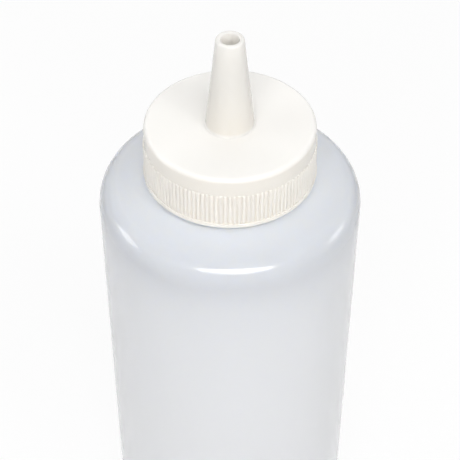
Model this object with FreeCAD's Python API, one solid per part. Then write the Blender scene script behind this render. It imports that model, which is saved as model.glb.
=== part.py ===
"""Wide-mouth squeeze bottle with a screw cap and cone nozzle, as used for sauces.

Two pieces: a thin blow-moulded bottle and a moulded cap. Millimetres, +Z up, with the
origin at the centre of the ring that the bottle stands on and the Z axis through the
nozzle. Every outline is a half section in the XZ plane, turned about Z.
"""

import FreeCAD
import Part

import math
import os

# ---- driving dimensions of the bottle ----
BODY_RADIUS = 43.3
WALL = 1.1
WALL_TOP_Z = 162.0  # where the straight wall turns into the shoulder
SHOULDER_ROUND = 8.3
SHOULDER_SLOPE = math.radians(18.9)  # the shoulder's fall, from the neck outwards
HEEL_ROUND = 5.0
STAND_RING_INNER = 33.6  # inner edge of the ring that it stands on
PANEL_RADIUS = 30.6  # recessed panel inside that ring
PANEL_RISE = 2.0
PANEL_CROWN = 0.8

NECK_RADIUS = 25.0  # at the root of the thread
NECK_WALL = 1.6
NECK_FOOT_ROUND = 1.2
NECK_LIP_ROUND = 0.4

# ---- driving dimensions of the cap ----
CAP_RADIUS = 27.5
CAP_HEIGHT = 19.2  # from the flat top to the rim
CAP_EDGE_ROUND = 1.4
CAP_PLATE = 1.6
CAP_INNER_RADIUS = 26.25
RIB_COUNT = 120
RIB_ROOT_RADIUS = 27.55
RIB_CREST_RADIUS = 28.06
RIB_SHARE = 0.62  # part of the pitch that a rib takes
RIB_TOP_DROP = 6.4  # from the cap's flat top to the ends of the ribs
RIM_RADIUS = 28.23
RIM_HEIGHT = 1.35
RIM_ROUND = 0.15
CAP_CLEARANCE = 1.95  # between the cap's rim and the shoulder

# ---- driving dimensions of the nozzle, which is one piece with the cap ----
NOZZLE_HEIGHT = 32.7
NOZZLE_BASE_RADIUS = 7.85
NOZZLE_TIP_RADIUS = 4.44
NOZZLE_FOOT_ROUND = 0.5
NOZZLE_TIP_ROUND = 0.7
BORE_TIP_RADIUS = 2.9
BORE_FOOT_RADIUS = 6.3
BORE_LIP_ROUND = 0.45
BORE_STRAIGHT = 3.0  # length of the straight bore below the tip

# ---- driving dimensions of the thread ----
THREAD_PITCH = 4.2
THREAD_TURNS = 1.25
THREAD_HEIGHT = 0.95
THREAD_FOOT_WIDTH = 2.2
THREAD_CREST_WIDTH = 0.9
THREAD_DROP = 9.6  # from the neck's lip to the middle of the thread's start
THREAD_SINK = 0.3  # how far a thread's foot reaches into its wall

# ---- heights that follow ----
SLOPE_RISE = math.tan(SHOULDER_SLOPE)
SHOULDER_TURN = math.pi / 2 - SHOULDER_SLOPE
SHOULDER_CORNER_Z = WALL_TOP_Z + SHOULDER_ROUND * math.tan(SHOULDER_TURN / 2)


def shoulder_z(radius):
    """Height of the shoulder's straight slope at this radius."""
    return SHOULDER_CORNER_Z + (BODY_RADIUS - radius) * SLOPE_RISE


CAP_RIM_Z = shoulder_z(RIM_RADIUS) + CAP_CLEARANCE
CAP_TOP_Z = CAP_RIM_Z + CAP_HEIGHT
NECK_TOP_Z = CAP_TOP_Z - CAP_PLATE
TIP_Z = CAP_TOP_Z + NOZZLE_HEIGHT

UP = FreeCAD.Vector(0, 0, 1)
CENTRE = FreeCAD.Vector(0, 0, 0)
MEETING = 1e-6  # two ends nearer than this are one point


def at(radius, z):
    """A point of a half section."""
    return FreeCAD.Vector(radius, 0, z)


def rounded_outline(corners):
    """A closed wire through corners of (radius, z, round), each round a tangent arc."""
    points = [at(radius, z) for radius, z, _ in corners]
    starts = []
    ends = []
    arcs = {}
    for i, (_, _, size) in enumerate(corners):
        back = (points[i - 1] - points[i]).normalize()
        ahead = (points[(i + 1) % len(points)] - points[i]).normalize()
        half = back.getAngle(ahead) / 2
        reach = size / math.tan(half)
        starts.append(points[i] + back * reach)
        ends.append(points[i] + ahead * reach)
        if size > 0:
            middle = (back + ahead).normalize() * (size / math.sin(half) - size)
            arcs[i] = Part.Arc(starts[i], points[i] + middle, ends[i]).toShape()
    edges = []
    for i, end in enumerate(ends):
        if i in arcs:
            edges.append(arcs[i])
        start = starts[(i + 1) % len(points)]
        if (start - end).Length > MEETING:
            edges.append(Part.LineSegment(end, start).toShape())
    return Part.Wire(edges)


def turned(corners):
    """The solid that a rounded half section sweeps about the Z axis."""
    return Part.Face(rounded_outline(corners)).revolve(CENTRE, UP, 360)


def thread(root_radius, height, foot_width, crest_width, start_z, start_turn):
    """One helical ridge. A height below zero points inwards, as inside the cap."""
    sink = math.copysign(THREAD_SINK, height)
    foot = root_radius - sink
    crest = root_radius + height
    section = Part.makePolygon(
        [
            at(foot, -foot_width / 2),
            at(crest, -crest_width / 2),
            at(crest, crest_width / 2),
            at(foot, foot_width / 2),
            at(foot, -foot_width / 2),
        ]
    )
    path = Part.makeHelix(THREAD_PITCH, THREAD_PITCH * THREAD_TURNS, root_radius)
    ridge = Part.Wire(path).makePipeShell([section], True, True)
    ridge.rotate(CENTRE, UP, start_turn)
    ridge.translate(UP * start_z)
    return ridge


def bottle():
    """The hollow bottle with its recessed foot, shoulder, neck and outer thread."""
    inner_radius = BODY_RADIUS - WALL
    inner_neck = NECK_RADIUS - NECK_WALL
    slope_drop = WALL / math.cos(SHOULDER_SLOPE)
    shell = turned(
        [
            (0, PANEL_RISE + PANEL_CROWN, 0),
            (PANEL_RADIUS, PANEL_RISE, 1.5),
            (STAND_RING_INNER, 0, 0.8),
            (BODY_RADIUS, 0, HEEL_ROUND),
            (BODY_RADIUS, SHOULDER_CORNER_Z, SHOULDER_ROUND),
            (NECK_RADIUS, shoulder_z(NECK_RADIUS), NECK_FOOT_ROUND),
            (NECK_RADIUS, NECK_TOP_Z, NECK_LIP_ROUND),
            (inner_neck, NECK_TOP_Z, NECK_LIP_ROUND),
            (inner_neck, shoulder_z(inner_neck) - slope_drop, NECK_FOOT_ROUND + WALL),
            (inner_radius, shoulder_z(inner_radius) - slope_drop, SHOULDER_ROUND - WALL),
            (inner_radius, WALL, HEEL_ROUND - WALL),
            (STAND_RING_INNER, WALL, 1.2),
            (PANEL_RADIUS, PANEL_RISE + WALL, 1.2),
            (0, PANEL_RISE + PANEL_CROWN + WALL, 0),
        ]
    )
    ridge = thread(
        NECK_RADIUS,
        THREAD_HEIGHT,
        THREAD_FOOT_WIDTH,
        THREAD_CREST_WIDTH,
        NECK_TOP_Z - THREAD_DROP,
        0,
    )
    return shell.fuse(ridge)


def rib_star():
    """The ribbed band's outline seen from above: a rounded rib and a gap, repeated."""
    pitch = 2 * math.pi / RIB_COUNT
    half = pitch * RIB_SHARE / 2

    def on_circle(radius, angle):
        return FreeCAD.Vector(radius * math.cos(angle), radius * math.sin(angle), 0)

    edges = []
    for i in range(RIB_COUNT):
        middle = i * pitch
        foot_a = on_circle(RIB_ROOT_RADIUS, middle - half)
        foot_b = on_circle(RIB_ROOT_RADIUS, middle + half)
        crest = on_circle(RIB_CREST_RADIUS, middle)
        gap = on_circle(RIB_ROOT_RADIUS, middle + pitch / 2)
        next_foot = on_circle(RIB_ROOT_RADIUS, middle + pitch - half)
        edges.append(Part.Arc(foot_a, crest, foot_b).toShape())
        edges.append(Part.Arc(foot_b, gap, next_foot).toShape())
    return Part.Wire(edges)


def ribbed_band():
    """The ring of grip ribs, from inside the rim up to the ledge of their upper ends."""
    low = CAP_RIM_Z + RIM_HEIGHT / 2
    high = CAP_TOP_Z - RIB_TOP_DROP
    hole = (CAP_INNER_RADIUS + CAP_RADIUS) / 2
    ring = Part.Face(rib_star()).extrude(UP * (high - low))
    ring = ring.cut(Part.makeCylinder(hole, high - low))
    ring.translate(UP * low)
    return ring


def cap():
    """The screw cap: plate, ribbed skirt, rim, nozzle with its bore, inner thread."""
    plate_z = CAP_TOP_Z - CAP_PLATE
    rim_top = CAP_RIM_Z + RIM_HEIGHT
    shell = turned(
        [
            (BORE_FOOT_RADIUS, plate_z, 0),
            (BORE_TIP_RADIUS, TIP_Z - BORE_STRAIGHT, 0),
            (BORE_TIP_RADIUS, TIP_Z, BORE_LIP_ROUND),
            (NOZZLE_TIP_RADIUS, TIP_Z, NOZZLE_TIP_ROUND),
            (NOZZLE_BASE_RADIUS, CAP_TOP_Z, NOZZLE_FOOT_ROUND),
            (CAP_RADIUS, CAP_TOP_Z, CAP_EDGE_ROUND),
            (RIB_ROOT_RADIUS, rim_top, 0),
            (RIM_RADIUS, rim_top, RIM_ROUND),
            (RIM_RADIUS, CAP_RIM_Z, RIM_ROUND),
            (CAP_INNER_RADIUS, CAP_RIM_Z, RIM_ROUND),
            (CAP_INNER_RADIUS, plate_z, 0.6),
        ]
    )
    ridge = thread(
        CAP_INNER_RADIUS,
        -THREAD_HEIGHT,
        THREAD_FOOT_WIDTH - 0.4,
        THREAD_CREST_WIDTH - 0.2,
        NECK_TOP_Z - THREAD_DROP - THREAD_PITCH / 2,
        0,
    )
    return shell.fuse(ribbed_band()).fuse(ridge)


def main():
    """Writes each piece to its own STEP file."""
    os.makedirs("parts", exist_ok=True)
    for name, piece in {"bottle": bottle(), "cap": cap()}.items():
        solid = piece.removeSplitter()
        solids = solid.Solids
        print(name, "solids", len(solids), "valid", solid.isValid(), "cm3", round(solid.Volume / 1000, 2))
        solids[0].exportStep(f"parts/{name}.step")


main()
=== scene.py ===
"""A wide-mouth squeeze bottle: a milky plastic body, a ribbed white cap and its cone nozzle.

Both pieces are turned about the Z axis from half sections in the XZ plane, in metres, and
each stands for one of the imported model's two nodes.
"""

import logging
import math
from collections.abc import Sequence
from dataclasses import dataclass
from enum import Enum

import bmesh
import bpy
from mathutils import Matrix, Vector


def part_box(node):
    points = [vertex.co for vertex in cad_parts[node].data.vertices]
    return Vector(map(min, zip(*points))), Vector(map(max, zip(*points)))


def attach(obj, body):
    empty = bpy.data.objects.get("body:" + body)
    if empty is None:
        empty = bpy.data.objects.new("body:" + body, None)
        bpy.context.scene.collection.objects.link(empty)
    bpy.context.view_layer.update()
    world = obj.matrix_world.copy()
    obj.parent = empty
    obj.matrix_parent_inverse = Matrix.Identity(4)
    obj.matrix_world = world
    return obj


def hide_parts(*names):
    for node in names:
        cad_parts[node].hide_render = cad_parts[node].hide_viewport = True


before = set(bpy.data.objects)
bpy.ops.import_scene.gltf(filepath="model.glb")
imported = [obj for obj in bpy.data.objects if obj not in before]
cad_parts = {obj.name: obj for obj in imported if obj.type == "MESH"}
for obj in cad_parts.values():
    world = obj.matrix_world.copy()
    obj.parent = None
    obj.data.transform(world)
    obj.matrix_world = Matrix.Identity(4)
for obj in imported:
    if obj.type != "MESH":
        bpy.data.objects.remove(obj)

MM = 0.001
BODY = "root"
WELD = 1e-7  # vertices this near are one
NEAR = 0.01 * MM  # vertices this near a radius or a height are on it
CREASE = math.radians(40)  # edges that turn more than this are sharp
IOR = 1.51  # of polyethylene
BUMP_DISTANCE = 0.1 * MM
UP = Vector((0, 0, 1))
CENTRE = Vector((0, 0, 0))

Colour = tuple[float, float, float, float]
WHITE: Colour = (1, 1, 1, 1)

log = logging.getLogger("squeeze_bottle")


class Node(Enum):
    """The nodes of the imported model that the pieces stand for."""

    BOTTLE = "bottle"
    CAP = "cap"


class Reach(Enum):
    """What a lamp does on the object: light it, or show in its gloss."""

    LIGHT = "light"
    GLOSS = "gloss"


# ---------------------------------------------------------------- half sections


def prime_factors(number: int) -> list[int]:
    """Splits a whole number.

    Args:
        number: at least 1.

    Returns:
        Its prime factors, from the least.
    """
    factors = []
    divisor = 2
    while number > 1:
        while number % divisor == 0:
            factors.append(divisor)
            number //= divisor
        divisor += 1
    return factors


@dataclass(frozen=True)
class Corner:
    """A corner of a half section: where two straight runs meet, and how round it is."""

    radius: float
    z: float
    round: float = 0.0

    @property
    def point(self) -> Vector:
        """The corner's place in the XZ plane."""
        return Vector((self.radius, 0, self.z))


@dataclass(frozen=True)
class Lathe:
    """Draws half sections and turns them about the Z axis, a sector at a time."""

    sectors: int
    columns: int  # in each sector
    arc_step: float = math.radians(11)
    least_arc_steps: int = 3
    guard: float = 0.4 * MM
    guarded_run: float = 1.6 * MM

    def sector(self, corners: Sequence[Corner]) -> bmesh.types.BMesh:
        """Turns an open half section through one sector.

        Args:
            corners: the section's corners in order, the first and last without a round.

        Returns:
            A new mesh that starts in the XZ plane and fills one sector.
        """
        work = bmesh.new()
        tip = bmesh.ops.create_vert(work, co=corners[0].point)["vert"][0]
        for before, corner, after in zip(corners, corners[1:], corners[2:]):
            tip = self._corner(work, tip, before, corner, after)
        self._run(work, tip, corners[-1].point)
        bmesh.ops.spin(
            work,
            geom=work.verts[:] + work.edges[:],
            cent=CENTRE,
            axis=UP,
            angle=math.tau / self.sectors,
            steps=self.columns,
        )
        return work

    def closed(self, work: bmesh.types.BMesh) -> bmesh.types.BMesh:
        """Repeats a sector until it closes, and welds its seams and poles.

        Args:
            work: the mesh of one sector.

        Returns:
            The same mesh, all the way round.
        """
        done = 1
        for times in prime_factors(self.sectors):
            source = work.verts[:] + work.edges[:] + work.faces[:]
            for copy in range(1, times):
                made = bmesh.ops.duplicate(work, geom=source)["geom"]
                bmesh.ops.rotate(
                    work,
                    verts=[item for item in made if isinstance(item, bmesh.types.BMVert)],
                    cent=CENTRE,
                    matrix=Matrix.Rotation(math.tau * done * copy / self.sectors, 3, "Z"),
                )
            done *= times
        bmesh.ops.remove_doubles(work, verts=work.verts, dist=WELD)
        return work

    def turned(self, corners: Sequence[Corner]) -> bmesh.types.BMesh:
        """Turns an open half section all the way round."""
        return self.closed(self.sector(corners))

    def _corner(
        self,
        work: bmesh.types.BMesh,
        tip: bmesh.types.BMVert,
        before: Corner,
        corner: Corner,
        after: Corner,
    ) -> bmesh.types.BMVert:
        """Runs up to a corner and spins its round.

        Args:
            work: the mesh that holds the section.
            tip: the section's last vertex so far.
            before: the corner that the run comes from.
            corner: the corner itself.
            after: the corner that follows.

        Returns:
            The section's new last vertex.
        """
        back = (before.point - corner.point).normalized()
        ahead = (after.point - corner.point).normalized()
        half = back.angle(ahead) / 2
        tip = self._run(work, tip, corner.point + back * corner.round / math.tan(half))
        if not corner.round:
            return tip
        turn = math.pi - 2 * half
        centre = corner.point + (back + ahead).normalized() * corner.round / math.sin(half)
        arc = bmesh.ops.spin(
            work,
            geom=[tip],
            cent=centre,
            axis=ahead.cross(back),
            angle=turn,
            steps=max(self.least_arc_steps, round(turn / self.arc_step)),
        )
        return next(item for item in arc["geom_last"] if isinstance(item, bmesh.types.BMVert))

    def _run(
        self, work: bmesh.types.BMesh, tip: bmesh.types.BMVert, goal: Vector
    ) -> bmesh.types.BMVert:
        """Draws a straight run, with a guard point near each end of a long one.

        Args:
            work: the mesh that holds the section.
            tip: the section's last vertex so far.
            goal: where the run ends.

        Returns:
            The vertex at the goal.
        """
        way = goal - tip.co
        if way.length < WELD:
            return tip
        stops = [goal]
        if way.length > self.guarded_run:
            guard = way.normalized() * self.guard
            stops = [tip.co + guard, goal - guard, goal]
        for stop in stops:
            tip = bmesh.ops.extrude_vert_indiv(work, verts=[tip])["verts"][0]
            tip.co = stop
        return tip


def finished(name: str, work: bmesh.types.BMesh) -> bpy.types.Object:
    """Makes an object of a closed mesh, with its normals out and its sharp edges marked.

    Args:
        name: the object's name.
        work: the mesh, which is freed.

    Returns:
        The new object, at the origin.
    """
    bmesh.ops.recalc_face_normals(work, faces=work.faces)
    mesh = bpy.data.meshes.new(name)
    work.to_mesh(mesh)
    work.free()
    mesh.shade_smooth()
    mesh.set_sharp_from_angle(angle=CREASE)
    piece = bpy.data.objects.new(name, mesh)
    bpy.context.scene.collection.objects.link(piece)
    return piece


def joined(pieces: Sequence[bmesh.types.BMesh]) -> bmesh.types.BMesh:
    """Gathers meshes into one.

    Args:
        pieces: the meshes, which are freed.

    Returns:
        A new mesh that holds all of them.
    """
    whole = bmesh.new()
    for piece in pieces:
        carrier = bpy.data.meshes.new("carrier")
        piece.to_mesh(carrier)
        piece.free()
        whole.from_mesh(carrier)
        bpy.data.meshes.remove(carrier)
    return whole


@dataclass(frozen=True)
class Thread:
    """A helical ridge on a round wall, sunk a little into it."""

    height: float  # out from the wall, or in where it is negative
    foot: float
    crest: float
    pitch: float = 4.2 * MM
    turns: float = 1.25
    sink: float = 0.3 * MM
    steps_a_turn: int = 96

    def built(self, wall: float, start_z: float) -> bmesh.types.BMesh:
        """Sweeps the ridge's section along its helix.

        Args:
            wall: radius of the wall.
            start_z: height of the section's middle where the thread starts.

        Returns:
            A new closed mesh.
        """
        work = bmesh.new()
        inner = wall - math.copysign(self.sink, self.height)
        outer = wall + self.height
        section = [
            (inner, start_z - self.foot / 2),
            (outer, start_z - self.crest / 2),
            (outer, start_z + self.crest / 2),
            (inner, start_z + self.foot / 2),
        ]
        ring = [work.verts.new((radius, 0, z)) for radius, z in section]
        start = work.faces.new(ring)
        bmesh.ops.spin(
            work,
            geom=[start] + list(start.edges) + ring,
            cent=CENTRE,
            axis=UP,
            dvec=UP * self.pitch / self.steps_a_turn,
            angle=math.tau * self.turns,
            steps=round(self.turns * self.steps_a_turn),
        )
        return work


# ---------------------------------------------------------------- finishes


class Sketch:
    """The node tree of a material or of the world, written a node at a time."""

    def __init__(self, owner: bpy.types.Material | bpy.types.World) -> None:
        """Empties the owner's node tree.

        Args:
            owner: the new material or world.
        """
        owner.use_nodes = True
        self.owner = owner
        self.tree = owner.node_tree
        self.tree.nodes.clear()

    def node(
        self, kind: str, links: dict[str | int, object] | None = None, **settings: object
    ) -> bpy.types.Node:
        """Adds a node.

        Args:
            kind: the node's type.
            links: input name or number to the output that feeds it, or to a plain value.
            settings: the node's own properties.

        Returns:
            The new node.
        """
        made = self.tree.nodes.new(kind)
        for name, value in settings.items():
            setattr(made, name, value)
        for name, value in (links or {}).items():
            if isinstance(value, bpy.types.NodeSocket):
                self.tree.links.new(value, made.inputs[name])
            else:
                made.inputs[name].default_value = value
        return made

    def surface(self, shader: bpy.types.NodeSocket) -> bpy.types.Material:
        """Ends a material's tree at this shader and gives the material."""
        self.node("ShaderNodeOutputMaterial", {"Surface": shader})
        return self.owner


@dataclass(frozen=True)
class MilkyPlastic:
    """Natural polyethylene: light soaks into its thin wall, and more of the blue comes back."""

    name: str = "milky_polyethylene"
    colour: Colour = (0.83, 0.86, 0.89, 1)
    depth: float = 6.4 * MM
    # painted shade and tint: the depth peaks just below the shoulder's corner, which darkens that
    # band, and the blue grows towards the top as a painted cool light from above
    # height, share of the depth, and how much deeper red goes and how much less deep blue
    wall: tuple[tuple[float, float, float], ...] = (
        (80 * MM, 0.46, 0.0),
        (135 * MM, 0.49, 0.03),
        (153 * MM, 0.58, 0.06),
        (163 * MM, 0.86, 0.08),
        (169 * MM, 0.66, 0.11),
        (174 * MM, 0.38, 0.13),
    )
    hue: tuple[float, float, float] = (1.0, 1.03, 0.98)
    roughness: float = 0.06
    shine: float = 0.75
    streak_scale: float = 420.0
    streak_detail: float = 3.0
    streak_stretch: float = 0.12
    streak_bump: float = 0.06
    grain_scale: float = 1500.0
    grain_detail: float = 2.0
    grain_bump: float = 0.08

    def material(self) -> bpy.types.Material:
        """Writes the finish.

        Its depth changes with height as painted shade: deepest, and so darkest, just below the
        shoulder's corner, with a painted cool tint that grows towards the top. The moulding has
        left a fine grain and faint streaks that run up it.

        Returns:
            The new material.
        """
        sketch = Sketch(bpy.data.materials.new(self.name))
        point = sketch.node("ShaderNodeTexCoord").outputs["Object"]
        height = sketch.node("ShaderNodeSeparateXYZ", {"Vector": point}).outputs["Z"]
        low, high = self.wall[0][0], self.wall[-1][0]
        # painted shade and tint, set by height alone
        level = sketch.node(
            "ShaderNodeMapRange", {"Value": height, "From Min": low, "From Max": high}
        )
        painted_shade_ramp = sketch.node("ShaderNodeValToRGB", {"Fac": level.outputs["Result"]})
        red, green, blue = self.hue
        stops = painted_shade_ramp.color_ramp.elements
        while len(stops) < len(self.wall):
            stops.new(0.5)
        for stop, (z, share, painted_cool_tint) in zip(stops, self.wall):
            stop.position = (z - low) / (high - low)
            stop.color = (share * (red + painted_cool_tint), share * green, share * (blue - painted_cool_tint), 1)
        along = sketch.node(
            "ShaderNodeMapping", {"Vector": point, "Scale": (1, 1, self.streak_stretch)}
        )
        streaks = sketch.node(
            "ShaderNodeTexNoise",
            {
                "Vector": along.outputs[0],
                "Scale": self.streak_scale,
                "Detail": self.streak_detail,
            },
        )
        streaked = sketch.node(
            "ShaderNodeBump",
            {
                "Height": streaks.outputs["Fac"],
                "Strength": self.streak_bump,
                "Distance": BUMP_DISTANCE,
            },
        )
        grain = sketch.node(
            "ShaderNodeTexNoise",
            {"Vector": point, "Scale": self.grain_scale, "Detail": self.grain_detail},
        )
        bump = sketch.node(
            "ShaderNodeBump",
            {
                "Height": grain.outputs["Fac"],
                "Strength": self.grain_bump,
                "Distance": BUMP_DISTANCE,
                "Normal": streaked.outputs["Normal"],
            },
        )
        skin = sketch.node(
            "ShaderNodeBsdfPrincipled",
            {
                "Base Color": self.colour,
                "Roughness": self.roughness,
                "IOR": IOR,
                "Specular IOR Level": self.shine,
                "Subsurface Weight": 1.0,
                "Subsurface Radius": painted_shade_ramp.outputs["Color"],
                "Subsurface Scale": self.depth,
                "Normal": bump.outputs["Normal"],
            },
        )
        return sketch.surface(skin.outputs[0])


@dataclass(frozen=True)
class CapPlastic:
    """Warm white moulded polyethylene: glossy, but satin on the grip, with painted light: the
    plate's top painted paler and cooler than the skirt and nozzle.
    """

    name: str = "warm_white_polyethylene"
    # painted light: the plate's top is painted paler and cooler, and the skirt and nozzle darker
    # and warmer, as light from above would fall
    shaded_side_colour: Colour = (0.825, 0.79, 0.735, 1)
    lit_plate_colour: Colour = (0.875, 0.86, 0.83, 1)
    lit_plate_fade: tuple[float, float] = (0.3 * MM, 1.3 * MM)
    depth: float = 1.5 * MM
    nozzle_depth: float = 6.0 * MM
    gloss_roughness: float = 0.1
    grip_roughness: float = 0.32
    grip_fade: float = 0.4 * MM
    ripple_scale: float = 300.0
    ripple_detail: float = 3.0
    ripple_roughness: float = 0.55
    ripple: float = 0.04

    def material(self, plate_z: float, grip_z: float, tip_z: float) -> bpy.types.Material:
        """Writes the finish, with the faint unevenness of a moulded skin, and painted light that
        makes the plate's top paler and cooler than the rest.

        Args:
            plate_z: height of the plate's top.
            grip_z: height of the grip's upper end.
            tip_z: height of the nozzle's tip, where the wall is thinnest and light goes deepest.

        Returns:
            The new material.
        """
        sketch = Sketch(bpy.data.materials.new(self.name))
        point = sketch.node("ShaderNodeTexCoord").outputs["Object"]
        height = sketch.node("ShaderNodeSeparateXYZ", {"Vector": point}).outputs["Z"]
        # painted light: the colour fades from the paler, cooler plate to the darker, warmer skirt
        # and nozzle, by height alone
        from_plate = sketch.node("ShaderNodeMath", {0: height, 1: plate_z}, operation="SUBTRACT")
        off_plate = sketch.node(
            "ShaderNodeMath", {0: from_plate.outputs[0]}, operation="ABSOLUTE"
        )
        painted_shade_mask = sketch.node(
            "ShaderNodeMapRange",
            {
                "Value": off_plate.outputs[0],
                "From Min": self.lit_plate_fade[0],
                "From Max": self.lit_plate_fade[1],
            },
        )
        colour = sketch.node(
            "ShaderNodeMixRGB",
            {0: painted_shade_mask.outputs["Result"], 1: self.lit_plate_colour, 2: self.shaded_side_colour},
        )
        roughness = sketch.node(
            "ShaderNodeMapRange",
            {
                "Value": height,
                "From Min": grip_z - self.grip_fade,
                "From Max": grip_z + self.grip_fade,
                "To Min": self.grip_roughness,
                "To Max": self.gloss_roughness,
            },
        )
        depth = sketch.node(
            "ShaderNodeMapRange",
            {
                "Value": height,
                "From Min": plate_z,
                "From Max": tip_z,
                "To Min": self.depth,
                "To Max": self.nozzle_depth,
            },
        )
        noise = sketch.node(
            "ShaderNodeTexNoise",
            {
                "Vector": point,
                "Scale": self.ripple_scale,
                "Detail": self.ripple_detail,
                "Roughness": self.ripple_roughness,
            },
        )
        bump = sketch.node(
            "ShaderNodeBump",
            {
                "Height": noise.outputs["Fac"],
                "Strength": self.ripple,
                "Distance": BUMP_DISTANCE,
            },
        )
        skin = sketch.node(
            "ShaderNodeBsdfPrincipled",
            {
                "Base Color": colour.outputs["Color"],
                "Roughness": roughness.outputs["Result"],
                "IOR": IOR,
                "Subsurface Weight": 1.0,
                "Subsurface Radius": (1.0, 1.0, 1.0),
                "Subsurface Scale": depth.outputs["Result"],
                "Normal": bump.outputs["Normal"],
            },
        )
        return sketch.surface(skin.outputs[0])


# ---------------------------------------------------------------- the bottle


@dataclass
class Bottle:
    """The hollow body: recessed base, straight wall, sloping shoulder, threaded neck."""

    wall: float = 1.1 * MM
    shoulder_drop: float = 30.64 * MM  # from the neck's lip to the end of the straight wall
    shoulder_round: float = 8.3 * MM
    shoulder_slope: float = math.radians(18.9)
    heel_round: float = 5.0 * MM
    stand_ring: float = 33.6 * MM
    stand_round: float = 0.8 * MM
    panel: float = 30.6 * MM
    panel_rise: float = 2.0 * MM
    panel_crown: float = 0.8 * MM
    panel_round: float = 1.5 * MM
    inner_base_round: float = 1.2 * MM
    neck: float = 25.0 * MM
    neck_wall: float = 1.6 * MM
    neck_foot_round: float = 1.2 * MM
    lip_round: float = 0.4 * MM
    lathe: Lathe = Lathe(sectors=32, columns=10)
    thread: Thread = Thread(height=0.95 * MM, foot=2.2 * MM, crest=0.9 * MM)
    thread_drop: float = 9.6 * MM
    finish: MilkyPlastic = MilkyPlastic()

    def __post_init__(self) -> None:
        """Reads the radius and the lip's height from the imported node."""
        low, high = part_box(Node.BOTTLE.value)
        self.radius: float = (high[0] - low[0]) / 2
        self.top: float = high[2]
        half_turn = (math.pi / 2 - self.shoulder_slope) / 2
        wall_top = self.top - self.shoulder_drop
        self.corner_z: float = wall_top + self.shoulder_round * math.tan(half_turn)

    def shoulder_z(self, radius: float) -> float:
        """Height of the shoulder's slope at this radius."""
        return self.corner_z + (self.radius - radius) * math.tan(self.shoulder_slope)

    def corners(self) -> list[Corner]:
        """Lays out the half section.

        Returns:
            Its corners, from the middle of the base outside to the middle of the base inside.
        """
        inner = self.radius - self.wall
        inner_neck = self.neck - self.neck_wall
        drop = self.wall / math.cos(self.shoulder_slope)
        inner_neck_z = self.shoulder_z(inner_neck) - drop
        return [
            Corner(0, self.panel_rise + self.panel_crown),
            Corner(self.panel, self.panel_rise, self.panel_round),
            Corner(self.stand_ring, 0, self.stand_round),
            Corner(self.radius, 0, self.heel_round),
            Corner(self.radius, self.corner_z, self.shoulder_round),
            Corner(self.neck, self.shoulder_z(self.neck), self.neck_foot_round),
            Corner(self.neck, self.top, self.lip_round),
            Corner(inner_neck, self.top, self.lip_round),
            Corner(inner_neck, inner_neck_z, self.neck_foot_round + self.wall),
            Corner(inner, self.shoulder_z(inner) - drop, self.shoulder_round - self.wall),
            Corner(inner, self.wall, self.heel_round - self.wall),
            Corner(self.stand_ring, self.wall, self.inner_base_round),
            Corner(self.panel, self.panel_rise + self.wall, self.inner_base_round),
            Corner(0, self.panel_rise + self.panel_crown + self.wall),
        ]

    def build(self) -> bpy.types.Object:
        """Turns the shell and adds its thread.

        Returns:
            The dressed piece, in its place.
        """
        shell = self.lathe.turned(self.corners())
        thread = self.thread.built(self.neck, self.top - self.thread_drop)
        piece = finished("bottle_shell", joined([shell, thread]))
        piece.data.materials.append(self.finish.material())
        return place(piece, Node.BOTTLE)


# ---------------------------------------------------------------- the cap


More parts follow.
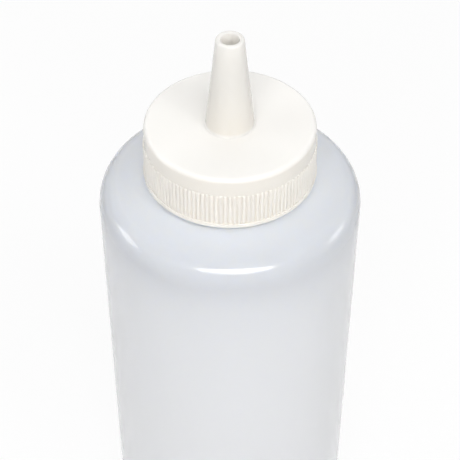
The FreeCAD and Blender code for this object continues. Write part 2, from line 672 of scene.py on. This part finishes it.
@dataclass
class Cap:
    """The screw cap: plate, ribbed skirt, rim and the nozzle that is one piece with it."""

    radius: float = 27.5 * MM
    height: float = 19.2 * MM
    edge_round: float = 1.4 * MM
    plate: float = 1.6 * MM
    inner: float = 26.25 * MM
    inner_round: float = 0.6 * MM
    skirt_seam_inset: float = 3 * MM  # from the band's radius to the seam in the plate
    ribs: int = 120
    columns_a_rib: int = 10
    rib_root: float = 27.55 * MM
    rib_height: float = 0.44 * MM
    rib_share: float = 0.7  # of the pitch
    rib_drop: float = 6.4 * MM
    rib_end: float = 0.6 * MM
    rib_end_rows: tuple[float, ...] = (0, 0.1, 0.3, 0.6, 1.0)  # down the rounded end
    rim_height: float = 1.35 * MM
    rim_round: float = 0.15 * MM
    rim_groove: float = 0.15 * MM
    nozzle_lathe: Lathe = Lathe(sectors=24, columns=10)
    nozzle_seam_inset: float = 2 * MM  # from the nozzle's base to the seam in the plate
    nozzle_base: float = 7.85 * MM
    nozzle_tip: float = 4.44 * MM
    nozzle_foot_round: float = 0.5 * MM
    nozzle_tip_round: float = 0.7 * MM
    bore_tip: float = 2.9 * MM
    bore_foot: float = 6.3 * MM
    bore_lip_round: float = 0.45 * MM
    bore_straight: float = 3.0 * MM
    thread: Thread = Thread(height=-0.95 * MM, foot=1.8 * MM, crest=0.7 * MM)
    thread_drop: float = 11.7 * MM
    finish: CapPlastic = CapPlastic()

    def __post_init__(self) -> None:
        """Reads the rim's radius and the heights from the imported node."""
        low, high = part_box(Node.CAP.value)
        self.rim: float = (high[0] - low[0]) / 2
        self.rim_z: float = low[2]
        self.top: float = self.rim_z + self.height
        self.tip: float = high[2]
        self.under: float = self.top - self.plate
        self.ribs_top: float = self.top - self.rib_drop

    def nozzle(self) -> bmesh.types.BMesh:
        """Turns the nozzle with the middle of the plate.

        Returns:
            A new mesh, open at its seam in the plate.
        """
        seam = self.nozzle_base + self.nozzle_seam_inset
        return self.nozzle_lathe.turned(
            [
                Corner(seam, self.under),
                Corner(self.bore_foot, self.under),
                Corner(self.bore_tip, self.tip - self.bore_straight),
                Corner(self.bore_tip, self.tip, self.bore_lip_round),
                Corner(self.nozzle_tip, self.tip, self.nozzle_tip_round),
                Corner(self.nozzle_base, self.top, self.nozzle_foot_round),
                Corner(seam, self.top),
            ]
        )

    def skirt(self) -> bmesh.types.BMesh:
        """Turns the plate's outer part with the skirt and the rim, and raises the ribs.

        Returns:
            A new mesh, open at its seam in the plate.
        """
        seam = self.radius - self.skirt_seam_inset
        rim_top = self.rim_z + self.rim_height
        rim_middle = self.rim_z + self.rim_height / 2
        rows = [self.ribs_top - self.rib_end * step for step in self.rib_end_rows]
        lathe = Lathe(sectors=self.ribs, columns=self.columns_a_rib)
        skirt = lathe.sector(
            [
                Corner(seam, self.top),
                Corner(self.radius, self.top, self.edge_round),
                *[Corner(self.rib_root, z) for z in rows],
                Corner(self.rib_root, rim_top),
                Corner(self.rim, rim_top, self.rim_round),
                Corner(self.rim, rim_middle + self.rim_groove),
                Corner(self.rim - self.rim_groove, rim_middle),
                Corner(self.rim, rim_middle - self.rim_groove),
                Corner(self.rim, self.rim_z, self.rim_round),
                Corner(self.inner, self.rim_z, self.rim_round),
                Corner(self.inner, self.under, self.inner_round),
                Corner(seam, self.under),
            ]
        )
        for vert in skirt.verts:
            on_root = abs(vert.co.xy.length - self.rib_root) < NEAR
            if on_root and rim_top - WELD < vert.co.z < self.ribs_top:
                self.raise_rib(vert)
        return lathe.closed(skirt)

    def raise_rib(self, vert: bmesh.types.BMVert) -> None:
        """Moves a vertex of the ribbed band out to the surface of its rib.

        Args:
            vert: the vertex, on the band's root.
        """
        turn = math.atan2(vert.co.y, vert.co.x) / math.tau * self.ribs
        across = abs(turn - round(turn)) / (self.rib_share / 2)
        along = min(1.0, (self.ribs_top - vert.co.z) / self.rib_end)
        if across >= 1:
            return
        rise = self.rib_height * math.sqrt(1 - across**2) * math.sqrt(1 - (1 - along) ** 2)
        vert.co.xy = vert.co.xy * (1 + rise / vert.co.xy.length)

    def build(self) -> bpy.types.Object:
        """Joins the nozzle to the skirt across the plate and adds the inner thread.

        Returns:
            The dressed piece, in its place.
        """
        whole = joined([self.nozzle(), self.skirt()])
        for height in (self.top, self.under):
            seams = [
                edge
                for edge in whole.edges
                if edge.is_boundary and all(abs(end.co.z - height) < NEAR for end in edge.verts)
            ]
            bmesh.ops.bridge_loops(whole, edges=seams)
        thread = self.thread.built(self.inner, self.under - self.thread_drop)
        piece = finished("screw_cap", joined([whole, thread]))
        piece.data.materials.append(self.finish.material(self.top, self.ribs_top, self.tip))
        return place(piece, Node.CAP)


def place(piece: bpy.types.Object, node: Node) -> bpy.types.Object:
    """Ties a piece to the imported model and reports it.

    Args:
        piece: the finished piece.
        node: the node that it stands for, whose imported part it hides.

    Returns:
        The same piece.
    """
    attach(piece, BODY)
    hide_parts(node.value)
    log.info("%s: %d faces", piece.name, len(piece.data.polygons))
    return piece


# ---------------------------------------------------------------- the studio


@dataclass(frozen=True)
class Softbox:
    """A soft lamp, placed by its bearing from the front and its elevation, both in degrees."""

    name: str
    bearing: float
    elevation: float
    width: float
    height: float
    radiance: float
    distance: float = 1.2  # metres, as the width and the height are

    def hang(self, target: Vector, reach: Reach) -> None:
        """Hangs the lamp, facing the target.

        Args:
            target: the point that it faces.
            reach: whether it lights the object, or is an oval that only shows in its gloss.
        """
        glint = reach is Reach.GLOSS
        lamp = bpy.data.lights.new(self.name, "AREA")
        lamp.shape = "ELLIPSE" if glint else "RECTANGLE"
        lamp.size = self.width
        lamp.size_y = self.height
        area = self.width * self.height * (math.pi / 4 if glint else 1)
        lamp.energy = self.radiance * area * math.pi
        bearing = math.radians(self.bearing)
        elevation = math.radians(self.elevation)
        way = Vector(
            (
                math.sin(bearing) * math.cos(elevation),
                -math.cos(bearing) * math.cos(elevation),
                math.sin(elevation),
            )
        )
        holder = bpy.data.objects.new(self.name, lamp)
        holder.visible_glossy = glint
        holder.visible_diffuse = not glint
        holder.location = target + way * self.distance
        holder.rotation_euler = way.to_track_quat("Z", "Y").to_euler()
        bpy.context.scene.collection.objects.link(holder)


@dataclass(frozen=True)
class Studio:
    """The camera, the pale floor, the soft light and the white surroundings."""

    lens: float = 109.98  # in millimetres, as the sensor is
    sensor: float = 36.0
    near_clip: float = 10 * MM
    camera_back: float = 340.67 * MM
    camera_above: float = 287.56 * MM
    camera_tilt: float = math.radians(44.551)
    floor_size: float = 4.0
    floor_drop: float = 0.1 * MM
    floor_paint: Colour = (0.92, 0.92, 0.92, 1)
    floor_share: float = 0.87  # of white in what the camera sees, the rest being paint
    floor_gloss: float = 0.2  # how white the floor shows in a gloss
    world_gloss: float = 1.0
    # name, bearing, elevation, width, height, radiance
    glints: tuple[Softbox, ...] = (
        Softbox("front_glint", 4, 48.5, 1.2, 0.52, 5.3),
        Softbox("left_glint", -91, 17, 0.52, 0.36, 3.0),
        Softbox("right_glint", 95, 14, 0.5, 0.32, 2.2),
    )
    softboxes: tuple[Softbox, ...] = (
        Softbox("front", 4, 54, 1.5, 0.3, 4.0),
        Softbox("front_low", -2, 30, 1.0, 0.4, 5.85),
        Softbox("front_right", 48, 43, 0.4, 0.4, 4.9),
        Softbox("left", -90, 50, 0.8, 0.8, 1.4),
        Softbox("left_low", -86, 12, 0.3, 0.4, 2.6),
        Softbox("right", 90, 50, 0.8, 0.8, 1.1),
        Softbox("back", 180, 45, 1.2, 0.8, 1.75),
        Softbox("back_left", -135, 30, 0.8, 0.6, 0.9),
        Softbox("back_right", 135, 30, 0.8, 0.6, 0.6),
    )

    def camera(self, cap_top: Vector) -> None:
        """Sets up the camera, in front of the cap's flat top and above it.

        Args:
            cap_top: the middle of the cap's flat top.
        """
        data = bpy.data.cameras.new("camera")
        data.lens = self.lens
        data.sensor_width = self.sensor
        data.clip_start = self.near_clip
        holder = bpy.data.objects.new("camera", data)
        holder.location = cap_top + Vector((0, -self.camera_back, self.camera_above))
        holder.rotation_euler = (math.pi / 2 - self.camera_tilt, 0, 0)
        bpy.context.scene.collection.objects.link(holder)
        bpy.context.scene.camera = holder

    def floor(self) -> None:
        """Lays the floor, white where it is seen and with the bottle's soft shadow."""
        work = bmesh.new()
        bmesh.ops.create_grid(
            work,
            x_segments=1,
            y_segments=1,
            size=self.floor_size / 2,
            matrix=Matrix.Translation(-UP * self.floor_drop),
        )
        mesh = bpy.data.meshes.new("floor")
        work.to_mesh(mesh)
        work.free()
        floor = bpy.data.objects.new("floor", mesh)
        bpy.context.scene.collection.objects.link(floor)
        sketch = Sketch(bpy.data.materials.new("pale_floor"))
        seen = self.seen(sketch, self.floor_gloss)
        paint = sketch.node("ShaderNodeBsdfDiffuse", {"Color": self.floor_paint})
        white = sketch.node("ShaderNodeEmission", {"Color": WHITE, "Strength": 1.0})
        share = sketch.node(
            "ShaderNodeMath", {0: seen, 1: self.floor_share}, operation="MULTIPLY"
        )
        mix = sketch.node(
            "ShaderNodeMixShader", {0: share.outputs[0], 1: paint.outputs[0], 2: white.outputs[0]}
        )
        mesh.materials.append(sketch.surface(mix.outputs[0]))

    def seen(self, sketch: Sketch, gloss: float) -> bpy.types.NodeSocket:
        """How far a surface shows white, by the ray that looks at it.

        Args:
            sketch: the material or world to write in.
            gloss: how far a gloss shows it white.

        Returns:
            One for a ray from the camera or through a clear surface, and gloss for a mirrored one.
        """
        path = sketch.node("ShaderNodeLightPath").outputs
        mirrored = sketch.node(
            "ShaderNodeMath", {0: path["Is Glossy Ray"], 1: gloss}, operation="MULTIPLY"
        )
        either = sketch.node(
            "ShaderNodeMath",
            {0: path["Is Camera Ray"], 1: mirrored.outputs[0]},
            operation="MAXIMUM",
        )
        any_of = sketch.node(
            "ShaderNodeMath",
            {0: either.outputs[0], 1: path["Is Transmission Ray"]},
            operation="MAXIMUM",
        )
        return any_of.outputs[0]

    def surroundings(self) -> None:
        """Makes the world white where it is seen, and no light on the object."""
        world = bpy.data.worlds.new("surroundings")
        bpy.context.scene.world = world
        sketch = Sketch(world)
        seen = self.seen(sketch, self.world_gloss)
        light = sketch.node("ShaderNodeBackground", {"Color": WHITE, "Strength": seen})
        sketch.node("ShaderNodeOutputWorld", {"Surface": light.outputs[0]})

    def lamps(self, target: Vector) -> None:
        """Hangs the lamps round a point.

        Args:
            target: the point that they face.
        """
        for lamp in self.glints:
            lamp.hang(target, Reach.GLOSS)
        for lamp in self.softboxes:
            lamp.hang(target, Reach.LIGHT)


def main() -> None:
    """Builds the studio and the bottle."""
    logging.basicConfig(level=logging.INFO, format="%(message)s")
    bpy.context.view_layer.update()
    cap = Cap()
    cap_top = Vector((0, 0, cap.top))
    studio = Studio()
    studio.camera(cap_top)
    studio.floor()
    studio.surroundings()
    studio.lamps(cap_top)
    bpy.context.scene.view_settings.view_transform = "Standard"
    Bottle().build()
    cap.build()


if __name__ == "__main__":
    main()
